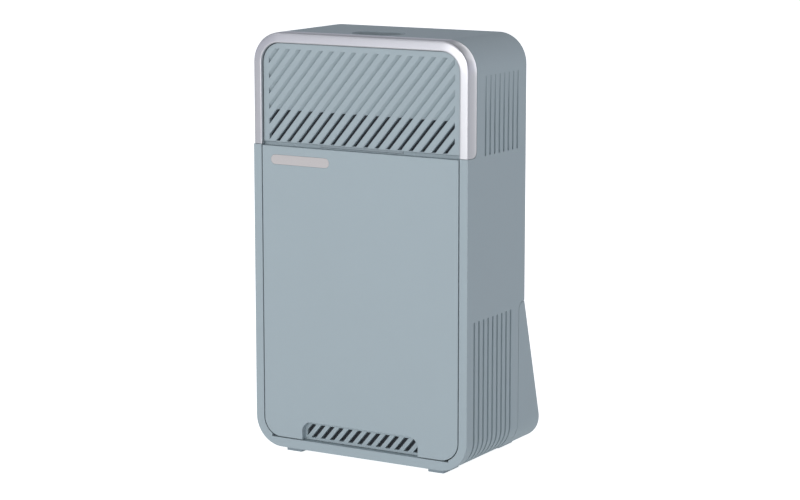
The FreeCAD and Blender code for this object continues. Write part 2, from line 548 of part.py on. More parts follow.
drive_back = S.drive_front_y + S.drive_thick
drive_left = S.drive_right - S.drive_long
for word, step in (("lower", 0), ("upper", 1)):
    z0 = S.tray_low + S.tray_step * step
    z1 = z0 + tray_h
    d0 = z0 + S.tray_sheet + 0.15
    d1 = d0 + S.drive_wide
    mid = (d0 + d1) / 2
    t = [box(word + "_tray_back", drive_left - 2.1, 50, drive_back, drive_back + S.tray_sheet, z0, z1),
         box(word + "_tray_floor", drive_left - 2.1, 50, S.drive_front_y - 1, drive_back + S.tray_sheet, z0, z0 + S.tray_sheet),
         box(word + "_tray_roof", drive_left - 2.1, 50, S.drive_front_y - 1, drive_back + S.tray_sheet, z1 - S.tray_sheet, z1),
         box(word + "_tray_end", drive_left - 2.1, drive_left - 0.3, S.drive_front_y - 1, drive_back + S.tray_sheet, z0, z1)]
    tc = [rounded(word + "_tray_window", "XZ", -30, 38, z0 + 12, z1 - 12, 6, -26, -10),
          rounded(word + "_tray_grip", "YZ", S.drive_front_y - 3, S.drive_front_y + 5, mid - 9, mid + 9, 2.5, -60, drive_left - 0.1)]
    screws, drive_cuts = [], []
    for back in (14.0, 90.6):
        x = S.drive_right - back
        y = drive_back - 3.0
        tc.append(cyl(word + "_tray_hole", "Z", x, y, z0 - 5, 1.6, 90))
        tc.append(cyl(word + "_tray_sink_a", "Z", x, y, z0 - 1, 2.7, 1.6))
        tc.append(cyl(word + "_tray_sink_b", "Z", x, y, z1 - 0.6, 2.7, 1.6))
        drive_cuts.append(cyl(word + "_drive_tap_a", "Z", x, y, d0 - 1, 1.5, 4.5))
        drive_cuts.append(cyl(word + "_drive_tap_b", "Z", x, y, d1 - 3.5, 1.5, 4.5))
        screws.append(fuse(word + "_screw_a", cyl(word + "_head_a", "Z", x, y, z0, 2.5, 0.6),
                           cyl(word + "_shank_a", "Z", x, y, z0 + 0.5, 1.4, 3.4)))
        screws.append(fuse(word + "_screw_b", cyl(word + "_head_b", "Z", x, y, z1 - 0.6, 2.5, 0.6),
                           cyl(word + "_shank_b", "Z", x, y, z1 - 3.9, 1.4, 3.4)))
    node(word + "_tray", cut(word + "_tray_cut", fuse(word + "_tray_body", *t), *tc))
    node(word + "_drive_screws", fuse(word + "_screw_set", *screws))
    case = rounded(word + "_case", "XZ", drive_left, S.drive_right, d0, d1, 2.0, S.drive_front_y, drive_back)
    drive_cuts.append(box(word + "_plug_space", 52.0, 60, -32.0, -25.8, mid - 22.5, mid + 22.5))
    blade = box(word + "_plug_blade", 51.9, 55.8, -29.6, -28.4, mid - 20, mid + 20)
    node(word + "_drive", fuse(word + "_drive_set", cut(word + "_drive_case", case, *drive_cuts), blade))

mids = [S.tray_low + S.tray_sheet + 0.15 + S.drive_wide / 2 + S.tray_step * k for k in (0, 1)]
node("backplane_board", box("backplane_plate", 57.6, 59.2, -34.2, -13.0, 26.0, 150.0))
node("drive_sockets", fuse("drive_socket_set", *[
    cut("drive_socket", box("drive_socket_block", 52.2, 57.6, -31.4, -26.4, m - 21.6, m + 21.6),
        box("drive_socket_slot", 51, 57.2, -29.75, -28.25, m - 20.3, m + 20.3)) for m in mids]))

# ---------------------------------------------------------------- boards
main_back = S.main_front_y + S.board_thick
BOARD_HOLES = [(-49, 28), (49, 28), (-49, 151), (49, 151)]
node("mainboard", cut("mainboard_cut", box("mainboard_plate", -54, 54, S.main_front_y, main_back, 22, 157),
                      *[cyl("mainboard_hole", "Y", x, -20, z, 1.6, 10) for x, z in BOARD_HOLES]))
node("board_standoffs", fuse("standoff_set", *[
    cut("standoff", cyl("standoff_post", "Y", x, -21.4, z, 2.6, 4.4), cyl("standoff_bore", "Y", x, -20.6, z, 1.45, 6))
    for x, z in BOARD_HOLES]))
node("processor", box("processor_package", -11, 11, main_back, main_back + 1.8, 109, 131))
sink_parts = [box("sink_base", -25, 25, main_back + 1.8, main_back + 3.8, 95, 145)]
for k in range(11):
    sink_parts.append(box("sink_fin", -25 + 4.88 * k, -25 + 4.88 * k + 1.2, main_back + 3.6, main_back + 12.2, 95, 145))
node("heatsink", fuse("heatsink_set", *sink_parts))
node("memory_socket", cut("memory_socket_cut", box("memory_socket_block", -36, 36, main_back, main_back + 5.6, 52, 60),
                          box("memory_socket_slot", -34.2, 34.2, -12.3, -11.1, 56.5, 70)))
node("memory_module", fuse("memory_module_set", box("memory_plate", -33.8, 33.8, -12.2, -11.2, 56.7, 86.7),
                           *[box("memory_chip", x - 5.5, x + 5.5, -11.2, -10.3, 64, 80) for x in (-24, -10, 10, 24)]))
node("wifi_socket", cut("wifi_socket_cut", box("wifi_socket_block", 30, 52, main_back, main_back + 4.6, 116, 124),
                        box("wifi_socket_slot", 30.6, 51.4, -12.65, -11.75, 120, 130)))
node("wifi_card", fuse("wifi_card_set", box("wifi_plate", 30.8, 51.2, -12.6, -11.8, 120.2, 147),
                       box("wifi_shield", 32.5, 49.5, -11.8, -10.0, 127, 141),
                       cyl("wifi_jack_a", "Y", 36.5, -11.8, 144.2, 1.2, 1.2),
                       cyl("wifi_jack_b", "Y", 46.0, -11.8, 144.2, 1.2, 1.2)))
node("shield_cans", fuse("shield_can_set", box("shield_can_a", -50, -31, main_back, main_back + 2.6, 98, 120),
                         box("shield_can_b", -52, -40, main_back, main_back + 2.6, 60, 84)))
node("capacitors", fuse("capacitor_set", *[cyl("capacitor", "Y", x, main_back, z, 3.1, 7.0)
                                           for x in (38.0, 45.6) for z in (72, 80, 88)]))
node("cell_holder", cut("cell_holder_cut", cyl("cell_holder_ring", "Y", -38, main_back, 40, 11.6, 4.0),
                        cyl("cell_holder_pocket", "Y", -38, main_back + 0.8, 40, 10.15, 10)))
node("coin_cell", cyl("coin_cell_can", "Y", -38, main_back + 0.8, 40, 10.0, 3.2))
node("board_connectors", fuse("board_connector_set",
    box("backplane_link_block", 49.5, 57.6, main_back, main_back + 6, 96, 112),
    box("io_link_block", -18, 18, main_back, main_back + 5, S.io_low + S.board_thick, 32)))
io_top = S.io_low + S.board_thick
IO_HOLES = [(-46, -8), (46, -8), (-49, 1.5), (49, 1.5)]
node("io_board", cut("io_board_cut", box("io_board_plate", -52, 52, -14.8, 18.2, S.io_low, io_top),
                     *[cyl("io_board_hole", "Z", x, y, 10, 1.6, 10) for x, y in IO_HOLES]))

# ---------------------------------------------------------------- rear connectors
face = S.port_plate_y + 0.4
JACK_X = [-39.0, -25.0, -11.0, 3.0]
jack_cuts = []
for x in JACK_X:
    jack_cuts.append(box("jack_cavity", x - 5.95, x + 5.95, 6.4, 40, io_top + 2.2, io_top + 10.5))
    jack_cuts.append(box("jack_latch_way", x - 3.2, x + 3.2, 10.0, 40, io_top + 0.8, io_top + 2.4))
node("ethernet_jacks", cut("ethernet_cut", box("ethernet_block", -46.8, 10.8, -0.4, face, io_top, io_top + 13.7), *jack_cuts))
usb_cuts = [box("usb_cavity", 18.65, 31.95, 8, 40, io_top + z, io_top + z + 5.8) for z in (1.2, 8.8)]
node("usb_ports", cut("usb_cut", box("usb_block", 18.0, 32.6, 2.0, face, io_top, io_top + 15.8), *usb_cuts))
node("usb_tongues", fuse("usb_tongue_set", *[box("usb_tongue", 19.6, 31.0, 8.0, 19.4, io_top + z + 3.0, io_top + z + 5.0)
                                             for z in (1.2, 8.8)]))
node("dc_inlet", fuse("dc_inlet_set", cut("dc_body", box("dc_block", 39.0, 48.2, 6.2, face, io_top, io_top + 11.0),
                                          cyl("dc_bore", "Y", 43.6, 9.4, io_top + 5.8, 3.15, 30)),
                      cyl("dc_pin", "Y", 43.6, 9.0, io_top + 5.8, 1.0, 10.2)))
plate_cuts = [box("ethernet_window", -46.95, 10.95, 0, 40, io_top - 0.15, io_top + 13.85),
              box("usb_window", 17.85, 32.75, 0, 40, io_top - 0.15, io_top + 15.95),
              box("dc_window", 38.85, 48.35, 0, 40, io_top - 0.15, io_top + 11.15)]
BUTTONS = [("power_button", 42.0, 3.4), ("link_button", 25.0, 2.4), ("reset_button", 8.0, 1.1)]
for label, x, r in BUTTONS:
    plate_cuts.append(cyl(label + "_window", "Y", x, 0, 40.0, r + 0.2, 40))
node("io_plate", cut("io_plate_cut", box("io_plate_sheet", -S.port_half - 1.8, S.port_half + 1.8,
                                         S.port_plate_y - S.port_plate_thick, S.port_plate_y,
                                         S.port_low - 1.8, S.port_high + 1.8), *plate_cuts))
plate_front = S.port_plate_y - S.port_plate_thick
for label, x, r in BUTTONS:
    top = 1.0 if label != "reset_button" else -0.6
    node(label, fuse(label + "_set", cyl(label + "_stem", "Y", x, plate_front - 0.9, 40.0, r, S.port_plate_thick + 0.9 + top),
                     cyl(label + "_flange", "Y", x, plate_front - 1.2, 40.0, r + 1.0, 1.0)))
node("switch_board", fuse("switch_board_set", box("switch_board_plate", -2, 50, 13.4, 14.6, 35.0, 46.6),
                          box("switch_link_block", -1, 3, 7.0, 13.4, 31.0, 45.0)))
node("tact_switches", fuse("tact_switch_set", *[
    fuse("tact_switch", box("tact_base", x - 3, x + 3, 14.6, 15.9, 37, 43), cyl("tact_plunger", "Y", x, 15.8, 40.0, 1.2, 0.5))
    for label, x, r in BUTTONS]))

# ---------------------------------------------------------------- antennas and leads
node("antenna_bracket", box("antenna_bracket_plate", -55, 55, -29.6, -28.2, 182, 208))
node("antennas", fuse("antenna_set", box("antenna_left", -54, -46, -28.2, -27.4, 168, 206),
                      box("antenna_right", 46, 54, -28.2, -27.4, 168, 206)))


def lead(name, points, r):
    """Round wire on straight runs joined by tangent arcs, as large as the runs allow."""
    pts = [V(*p) for p in points]
    edges, at, radii = [], pts[0], []
    for i in range(1, len(pts) - 1):
        a, b = (pts[i] - pts[i - 1]), (pts[i + 1] - pts[i])
        la, lb = a.Length, b.Length
        a.normalize()
        b.normalize()
        back = 0.45 * min(la, lb)
        turn = a.getAngle(b)
        radii.append(round(back / math.tan(turn / 2), 1))
        p1, p3 = pts[i] - a * back, pts[i] + b * back
        rad = back / math.tan(turn / 2)
        bis = (b - a)
        bis.normalize()
        centre = pts[i] + bis * (rad / math.cos(turn / 2))
        toward = pts[i] - centre
        toward.normalize()
        p2 = centre + toward * rad
        edges.append(Part.LineSegment(at, p1).toShape())
        edges.append(Part.Arc(p1, p2, p3).toShape())
        at = p3
    edges.append(Part.LineSegment(at, pts[-1]).toShape())
    path = Part.Wire(edges)
    d = pts[1] - pts[0]
    ring = Part.Wire([Part.makeCircle(r, pts[0], d)])
    tube = path.makePipeShell([ring], True, False)
    length = sum(e.Length for e in edges)
    print(name, "radii", radii, "length %.1f" % length, "volume ratio %.4f" % (tube.Volume / (math.pi * r * r * length)))
    ob = doc.addObject("Part::Feature", name)
    ob.Shape = tube
    ob.Placement = FreeCAD.Placement()
    return ob


main_y = SIZES["main_front_y"] + SIZES["board_thick"]
node("fan_lead", fuse("fan_lead_set", box("fan_plug_block", -46, -38, main_y, main_y + 5.5, 133, 139),
    lead("fan_lead_wire", [(-30, 9.2, 136), (-42, 9.2, 136), (-42, main_y + 5.5, 136)], 1.1)))
node("antenna_leads", fuse("antenna_lead_set",
    lead("antenna_lead_right", [(50, -26.8, 174), (50, -26.8, 165), (49.2, -18.0, 161.2), (47.5, -10.6, 155.5), (46, -10.0, 145.0)], 0.55),
    lead("antenna_lead_left", [(-50, -26.8, 174), (-50, -26.8, 165), (-44, -18.0, 161.4), (-24, -15.5, 161.0),
                               (0, -13.5, 161.2), (22, -12.0, 160.0), (34, -10.6, 155.0), (36.5, -10.0, 145.0)], 0.55)))

# ---------------------------------------------------------------- screws


def screw(name, axis, x, y, z, head_r, head_l, shank_r, shank_l, sign):
    """Screw whose head rests at the point; the shank runs along sign*axis."""
    x, y, z = q(x), q(y), q(z)
    if axis == "Y":
        h0, s0 = (y - head_l, y - 0.1) if sign > 0 else (y, y - shank_l)
        return fuse(name, cyl(name + "_head", "Y", x, h0, z, head_r, head_l),
                    cyl(name + "_shank", "Y", x, s0, z, shank_r, shank_l + 0.1))
    h0, s0 = (z - head_l, z - 0.1) if sign > 0 else (z, z - shank_l)
    return fuse(name, cyl(name + "_head", "Z", x, y, h0, head_r, head_l),
                cyl(name + "_shank", "Z", x, y, s0, shank_r, shank_l + 0.1))


node("cage_screws", fuse("cage_screw_set", *[screw("cage_screw", "Y", x, -21.4, z, 2.6 if z > 10 else 1.9, 1.8, 1.4, 8.0, -1)
                                             for x, z in CAGE_HOLES]))
node("board_screws", fuse("board_screw_set",
    *([screw("main_screw", "Y", x, main_back, z, 2.6, 1.8, 1.4, 4.5, -1) for x, z in BOARD_HOLES] +
      [screw("io_screw", "Z", x, y, io_top, 2.1, 1.6, 1.4, 7.0, -1) for x, y in IO_HOLES])))
node("panel_screws", fuse("panel_screw_set", *[
    screw("panel_screw", "Y", sx * x, S.rear_y - 1.3, z, 2.8, 1.2, 1.4, 8.0, -1)
    for sx in (-1, 1) for x, z in ((50.0, 206.0), (56.8, 90.0))]))
node("fan_screws", fuse("fan_screw_set", *[
    screw("fan_screw", "Y", S.fan_hole_half * sx, S.rear_y - 0.9, S.fan_z + S.fan_hole_half * sz, 3.4, 1.7, 1.9, 9.0, -1)
    for sx in (-1, 1) for sz in (-1, 1)]))
node("cover_screws", fuse("cover_screw_set", *[screw("cover_screw", "Z", sx * 30.0, 27.0, 3.85, 2.9, 1.1, 1.4, 4.2, 1)
                                               for sx in (-1, 1)]))

# ---------------------------------------------------------------- check and write
doc.recompute()
bad = [o.Name + " " + str(o.State) for o in doc.Objects if "Invalid" in o.State or "Error" in o.State]
if bad:
    raise RuntimeError("failed objects: " + "; ".join(bad))
labels = [label for label, ob in NODES]
assert len(set(labels)) == len(labels) <= 60
for label, ob in NODES:
    shape = ob.Shape
    if shape.isNull() or not shape.isValid() or shape.Volume <= 0:
        raise RuntimeError("bad shape: " + label)
for label, ob in NODES:
    ob.Shape.exportStep("parts/%s.step" % label)
    print("%-18s solids %2d volume %9.1f" % (label, len(ob.Shape.Solids), ob.Shape.Volume))
print(len(NODES), "nodes")
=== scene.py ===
import bpy, bmesh
import json
import math
from mathutils import Matrix, Vector


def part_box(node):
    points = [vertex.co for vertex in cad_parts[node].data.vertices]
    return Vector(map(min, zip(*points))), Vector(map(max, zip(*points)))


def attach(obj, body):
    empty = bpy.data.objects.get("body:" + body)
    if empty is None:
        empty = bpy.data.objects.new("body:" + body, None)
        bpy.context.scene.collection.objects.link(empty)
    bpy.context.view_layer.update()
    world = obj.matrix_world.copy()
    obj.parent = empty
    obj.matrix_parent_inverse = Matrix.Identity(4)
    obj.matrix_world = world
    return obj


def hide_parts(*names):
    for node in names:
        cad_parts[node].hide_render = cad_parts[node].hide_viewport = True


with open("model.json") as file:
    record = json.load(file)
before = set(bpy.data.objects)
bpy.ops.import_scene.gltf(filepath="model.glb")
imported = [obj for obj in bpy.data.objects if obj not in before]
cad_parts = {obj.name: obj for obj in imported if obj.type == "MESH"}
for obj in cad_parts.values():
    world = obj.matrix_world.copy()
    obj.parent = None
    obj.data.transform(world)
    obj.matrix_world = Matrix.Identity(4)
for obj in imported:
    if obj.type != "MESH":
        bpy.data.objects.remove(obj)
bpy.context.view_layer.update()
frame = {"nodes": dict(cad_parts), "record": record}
nodes = frame["nodes"]
scene = bpy.context.scene
scene.view_settings.view_transform = "Standard"
scene.view_settings.look = "None"

# ------------------------------------------------------------------ camera
cam_data = bpy.data.cameras.new("camera")
cam = bpy.data.objects.new("camera", cam_data)
scene.collection.objects.link(cam)
scene.camera = cam
cam_data.sensor_width = 36.0
cam_data.lens = 2414.98 / 800.0 * 36.0
cam_data.clip_start, cam_data.clip_end = 0.05, 60.0
right = Vector((0.861191, 0.508282, -0.000221)).normalized()
look = Vector((-0.500664, 0.848209, -0.172851)).normalized()
up = right.cross(look).normalized()
cam.matrix_world = Matrix((
    (right.x, up.x, -look.x, 0.62458), (right.y, up.y, -look.y, -1.05810),
    (right.z, up.z, -look.z, 0.31985), (0, 0, 0, 1)))

# ------------------------------------------------------------------ floor and light
def lin(v):
    v /= 255.0
    return v / 12.92 if v <= 0.04045 else ((v + 0.055) / 1.055) ** 2.4


def rgb(r, g, b):
    return (lin(r), lin(g), lin(b), 1.0)


world = bpy.data.worlds.new("world")
scene.world = world
world.use_nodes = True
wn, wl = world.node_tree.nodes, world.node_tree.links
bg = wn["Background"]
coord = wn.new("ShaderNodeTexCoord")
sep = wn.new("ShaderNodeSeparateXYZ")
ramp = wn.new("ShaderNodeValToRGB")
wl.new(coord.outputs["Generated"], sep.inputs[0])
wl.new(sep.outputs["Z"], ramp.inputs[0])
ramp.color_ramp.elements[0].position = 0.10
ramp.color_ramp.elements[0].color = (1.50, 1.52, 1.86, 1)
ramp.color_ramp.elements[1].position = 0.6
ramp.color_ramp.elements[1].color = (0.66, 0.69, 0.74, 1)
low_sky = ramp.color_ramp.elements.new(0.20)
low_sky.color = (0.80, 0.82, 0.93, 1)
wl.new(ramp.outputs[0], bg.inputs["Color"])
bg.inputs["Strength"].default_value = 0.50
white = wn.new("ShaderNodeBackground")
white.inputs["Color"].default_value = (1, 1, 1, 1)
white.inputs["Strength"].default_value = 1.0
path = wn.new("ShaderNodeLightPath")
pick = wn.new("ShaderNodeMixShader")
wl.new(path.outputs["Is Camera Ray"], pick.inputs[0])
wl.new(bg.outputs[0], pick.inputs[1])
wl.new(white.outputs[0], pick.inputs[2])
wl.new(pick.outputs[0], wn["World Output"].inputs["Surface"])

mesh = bpy.data.meshes.new("floor")
bm = bmesh.new()
bmesh.ops.create_grid(bm, x_segments=1, y_segments=1, size=40.0)
bm.to_mesh(mesh)
bm.free()
floor = bpy.data.objects.new("floor", mesh)
scene.collection.objects.link(floor)
fmat = bpy.data.materials.new("floor")
fmat.use_nodes = True
fb = fmat.node_tree.nodes["Principled BSDF"]
fb.inputs["Base Color"].default_value = (0.70, 0.71, 0.72, 1)
fb.inputs["Roughness"].default_value = 0.9
fb.inputs["Specular IOR Level"].default_value = 0.1
fb.inputs["Emission Color"].default_value = (1, 1, 1, 1)
fpath = fmat.node_tree.nodes.new("ShaderNodeLightPath")
fmul = fmat.node_tree.nodes.new("ShaderNodeMath")
fmul.operation = "MULTIPLY_ADD"
fmul.inputs[1].default_value = 0.50
fmul.inputs[2].default_value = 0.38
fmat.node_tree.links.new(fpath.outputs["Is Camera Ray"], fmul.inputs[0])
fmat.node_tree.links.new(fmul.outputs[0], fb.inputs["Emission Strength"])
mesh.materials.append(fmat)


def softbox(name, loc, target, size_x, size_y, power, colour=(1, 1, 1)):
    data = bpy.data.lights.new(name, "AREA")
    data.shape = "RECTANGLE"
    data.size, data.size_y = size_x, size_y
    data.energy = power
    data.color = colour
    ob = bpy.data.objects.new(name, data)
    scene.collection.objects.link(ob)
    ob.location = loc
    ob.rotation_mode = "QUATERNION"
    ob.rotation_quaternion = (Vector(target) - Vector(loc)).to_track_quat("-Z", "Y")
    ob.visible_camera = False
    return ob


softbox("key_front", (-0.02, -1.80, 0.56), (0, 0, 0.12), 1.5, 1.1, 12.4)
softbox("card_low", (-0.27, -0.93, 0.22), (0, 0, 0.14), 0.44, 0.42, 0.26)
softbox("fill_right", (1.9, 0.3, 0.42), (0, 0, 0.1), 1.2, 0.8, 0.5)
softbox("fill_left", (-1.9, 0.5, 0.6), (0, 0, 0.1), 1.2, 1.0, 2.5)
card_high = softbox("card_high", (-0.65, -0.42, 1.05), (0, -0.04, 0.2), 1.0, 1.0, 2.0, (0.88, 0.90, 1.0))
card_high.visible_diffuse = False
softbox("rear_soft", (0.2, 2.0, 0.6), (0, 0, 0.1), 1.6, 1.2, 8.0)


# ------------------------------------------------------------------ materials
def new_mat(name):
    m = bpy.data.materials.new(name)
    m.use_nodes = True
    nt = m.node_tree
    return m, nt.nodes, nt.links, nt.nodes["Principled BSDF"]


def plastic(name, colour, rough=0.5, grain=1400.0, depth=0.010, vary=0.035, spec=0.45, edge=0.0):
    """Moulded plastic: spark-eroded grain in the bump, faint mottling in colour and gloss."""
    m, n, l, b = new_mat(name)
    tex = n.new("ShaderNodeTexCoord")
    fine = n.new("ShaderNodeTexNoise")
    fine.inputs["Scale"].default_value = grain
    fine.inputs["Detail"].default_value = 3.0
    fine.inputs["Roughness"].default_value = 0.6
    l.new(tex.outputs["Object"], fine.inputs["Vector"])
    broad = n.new("ShaderNodeTexNoise")
    broad.inputs["Scale"].default_value = 34.0
    broad.inputs["Detail"].default_value = 4.0
    l.new(tex.outputs["Object"], broad.inputs["Vector"])
    mix = n.new("ShaderNodeMix")
    mix.data_type = "RGBA"
    mix.blend_type = "MIX"
    a = tuple(c * (1 - vary) for c in colour[:3]) + (1,)
    c = tuple(min(1, v * (1 + vary)) for v in colour[:3]) + (1,)
    mix.inputs[6].default_value = a
    mix.inputs[7].default_value = c
    add = n.new("ShaderNodeMath")
    add.operation = "MULTIPLY_ADD"
    add.inputs[1].default_value = 0.45
    l.new(fine.outputs["Fac"], add.inputs[0])
    half = n.new("ShaderNodeMath")
    half.operation = "MULTIPLY"
    half.inputs[1].default_value = 0.55
    l.new(broad.outputs["Fac"], half.inputs[0])
    l.new(half.outputs[0], add.inputs[2])
    l.new(add.outputs[0], mix.inputs[0])
    l.new(mix.outputs[2], b.inputs["Base Color"])
    rr = n.new("ShaderNodeMapRange")
    rr.inputs[1].default_value, rr.inputs[2].default_value = 0.3, 0.7
    rr.inputs[3].default_value, rr.inputs[4].default_value = rough - 0.05, rough + 0.05
    l.new(broad.outputs["Fac"], rr.inputs[0])
    l.new(rr.outputs[0], b.inputs["Roughness"])
    bump = n.new("ShaderNodeBump")
    bump.inputs["Strength"].default_value = 0.5
    bump.inputs["Distance"].default_value = depth / 1000.0 * 2
    l.new(fine.outputs["Fac"], bump.inputs["Height"])
    if edge:
        soft = n.new("ShaderNodeBevel")
        soft.samples = 4
        soft.inputs["Radius"].default_value = edge / 1000.0
        l.new(soft.outputs[0], bump.inputs["Normal"])
    l.new(bump.outputs[0], b.inputs["Normal"])
    b.inputs["Specular IOR Level"].default_value = spec
    return m


def metal(name, colour, rough=0.3, brushed=(1, 1, 1), scale=300.0, depth=0.004, metallic=1.0):
    """Metal with a directional or even micro-texture."""
    m, n, l, b = new_mat(name)
    tex = n.new("ShaderNodeTexCoord")
    mp = n.new("ShaderNodeMapping")
    mp.inputs["Scale"].default_value = brushed
    l.new(tex.outputs["Object"], mp.inputs["Vector"])
    no = n.new("ShaderNodeTexNoise")
    no.inputs["Scale"].default_value = scale
    no.inputs["Detail"].default_value = 4.0
    l.new(mp.outputs[0], no.inputs["Vector"])
    mix = n.new("ShaderNodeMix")
    mix.data_type = "RGBA"
    mix.inputs[6].default_value = tuple(c * 0.93 for c in colour[:3]) + (1,)
    mix.inputs[7].default_value = tuple(min(1, c * 1.05) for c in colour[:3]) + (1,)
    l.new(no.outputs["Fac"], mix.inputs[0])
    l.new(mix.outputs[2], b.inputs["Base Color"])
    rr = n.new("ShaderNodeMapRange")
    rr.inputs[1].default_value, rr.inputs[2].default_value = 0.25, 0.75
    rr.inputs[3].default_value, rr.inputs[4].default_value = rough * 0.85, rough * 1.2
    l.new(no.outputs["Fac"], rr.inputs[0])
    l.new(rr.outputs[0], b.inputs["Roughness"])
    bump = n.new("ShaderNodeBump")
    bump.inputs["Strength"].default_value = 0.4
    bump.inputs["Distance"].default_value = depth / 1000.0
    l.new(no.outputs["Fac"], bump.inputs["Height"])
    l.new(bump.outputs[0], b.inputs["Normal"])
    b.inputs["Metallic"].default_value = metallic
    return m


SHELL = (0.380, 0.450, 0.474, 1)
MAT = {
    "shell": plastic("shell_plastic", SHELL, rough=0.58, spec=0.22, edge=0.35),
    "trim": metal("trim_silver", (0.55, 0.55, 0.565), rough=0.34, scale=2600.0, depth=0.0002, metallic=0.9),
    "mark": plastic("badge_plastic", rgb(196, 191, 189), rough=0.45, edge=0.15),
    "filter": plastic("filter_foam", (0.045, 0.050, 0.057, 1), rough=0.95, grain=2200, depth=0.15, spec=0.1),
    "rubber": plastic("foot_rubber", (0.30, 0.355, 0.385, 1), rough=0.8, depth=0.02, spec=0.2, edge=0.3),
    "magnet": metal("magnet_nickel", (0.62, 0.61, 0.60), rough=0.25),
    "clear": plastic("guide_plastic", (0.34, 0.40, 0.425, 1), rough=0.4, depth=0.003),
    "steel": metal("cage_steel", (0.58, 0.59, 0.60), rough=0.38, scale=160.0),
    "drive_case": metal("drive_aluminium", (0.50, 0.51, 0.52), rough=0.36, brushed=(1, 1, 30), scale=120.0),
    "board": plastic("board_mask", (0.012, 0.085, 0.040, 1), rough=0.35, grain=500),
    "black_plastic": plastic("black_plastic", (0.022, 0.023, 0.026, 1), rough=0.5),
    "metal_can": metal("tinned_can", (0.68, 0.68, 0.67), rough=0.32, scale=220.0),
    "heatsink": metal("sink_aluminium", (0.60, 0.61, 0.62), rough=0.42, brushed=(1, 1, 14), scale=160.0),
    "gold": metal("contact_gold", (0.95, 0.72, 0.30), rough=0.25),
    "blue_plastic": plastic("usb_blue", (0.03, 0.16, 0.60, 1), rough=0.4),
    "screw": metal("screw_black_zinc", (0.20, 0.205, 0.215), rough=0.36, scale=500.0),
    "button": plastic("button_plastic", (0.33, 0.39, 0.42, 1), rough=0.42, edge=0.25),
}

# the jack shells are tinned outside and moulded black inside, from 0.3 mm behind the mouth
JACK_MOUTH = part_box("ethernet_jacks")[1][1]
jack = metal("jack_shell", (0.66, 0.66, 0.65), rough=0.30, scale=220.0)
jn, jl, jb = jack.node_tree.nodes, jack.node_tree.links, jack.node_tree.nodes["Principled BSDF"]
where = jn.new("ShaderNodeNewGeometry")
split = jn.new("ShaderNodeSeparateXYZ")
jl.new(where.outputs["Position"], split.inputs[0])
deep = jn.new("ShaderNodeMath")
deep.operation = "LESS_THAN"
deep.inputs[1].default_value = JACK_MOUTH - 0.0003
jl.new(split.outputs["Y"], deep.inputs[0])
liner = jn.new("ShaderNodeBsdfPrincipled")
liner.inputs["Base Color"].default_value = (0.020, 0.021, 0.023, 1)
liner.inputs["Roughness"].default_value = 0.55
both = jn.new("ShaderNodeMixShader")
jl.new(deep.outputs[0], both.inputs[0])
jl.new(jb.outputs[0], both.inputs[1])
jl.new(liner.outputs[0], both.inputs[2])
jl.new(both.outputs[0], jn["Material Output"].inputs["Surface"])

# the top vent's plastic is darker than the shell: painted shade standing in for the shade inside the vent slots
vent = plastic("vent_plastic_painted_shade", (0.275, 0.327, 0.345, 1), rough=0.62, spec=0.18)

for part in frame["record"]["subparts"]:
    ob = nodes[part["node"]]
    ob.data.materials.clear()
    own = {"ethernet_jacks": jack, "top_vent": vent}.get(part["node"])
    ob.data.materials.append(own or MAT[part["material_slot"]])

# ------------------------------------------------------------------ helpers for pieces
def mm(*v):
    return Vector(v) / 1000.0


def piece(name, bm, slot, rides, sharp=35.0, replaces=()):
    me = bpy.data.meshes.new(name)
    bmesh.ops.remove_doubles(bm, verts=bm.verts, dist=1e-7)
    bmesh.ops.recalc_face_normals(bm, faces=bm.faces)
    bm.normal_update()
    for f in bm.faces:
        f.smooth = True
    for e in bm.edges:
        if len(e.link_faces) == 2:
            e.smooth = e.calc_face_angle() < math.radians(sharp)
    bm.to_mesh(me)
    bm.free()
    me.materials.append(MAT[slot])
    ob = bpy.data.objects.new(name, me)
    scene.collection.objects.link(ob)
    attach(ob, rides)
    if replaces:
        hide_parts(*replaces)
    return ob


def loft(bm, rings, closed_ring=True, caps=True):
    """Skin a list of equal-length point rings."""
    rows = [[bm.verts.new(p) for p in ring] for ring in rings]
    n = len(rows[0])
    for a, b in zip(rows, rows[1:]):
        for i in range(n if closed_ring else n - 1):
            j = (i + 1) % n
            bm.faces.new((a[i], a[j], b[j], b[i]))
    if caps:
        bm.faces.new(rows[0][::-1])
        bm.faces.new(rows[-1])
    return rows


# ------------------------------------------------------------------ arch trim, crowned section
AL, AH = [v * 1000 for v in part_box("arch_trim")[0]], [v * 1000 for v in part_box("arch_trim")[1]]
front, rear, half_w, top_z, low_z = AL[1], AH[1], AH[0], AH[2], AL[2]
R_OUT, IN_X, IN_TOP, R_IN = 15.57, 57.63, 212.3, 10.3


def arch_station(t):
    """Outer and inner point of the arch at t in 0..1 along its right half path, from foot to crown."""
    leg = top_z - R_OUT - low_z
    arc = R_OUT * math.pi / 2
    bar = half_w - R_OUT
    s_ = t * (leg + arc + bar)
    if s_ <= leg:
        return (half_w, low_z + s_), (IN_X, low_z + s_ * (IN_TOP - R_IN - low_z) / leg)
    if s_ <= leg + arc:
        a_ = (s_ - leg) / arc * math.pi / 2
        return ((half_w - R_OUT + R_OUT * math.cos(a_), top_z - R_OUT + R_OUT * math.sin(a_)),
                (IN_X - R_IN + R_IN * math.cos(a_), IN_TOP - R_IN + R_IN * math.sin(a_)))
    k = (s_ - leg - arc) / bar
    return (bar * (1 - k), top_z), ((IN_X - R_IN) * (1 - k), IN_TOP)


def arch_ts():
    leg = top_z - R_OUT - low_z
    arc = R_OUT * math.pi / 2
    bar = half_w - R_OUT
    total = leg + arc + bar
    ts = [z / total for z in (0, 0.12, 0.3, 0.6, 0.95, 1.4, 1.9, 2.5, 3.2, 6, 12, 20, 30, 38)]
    ts += [(leg + arc * k / 18) / total for k in range(19)]
    ts += [(leg + arc + bar * k / 8) / total for k in range(1, 9)]
    return ts


TAIL = 3.2
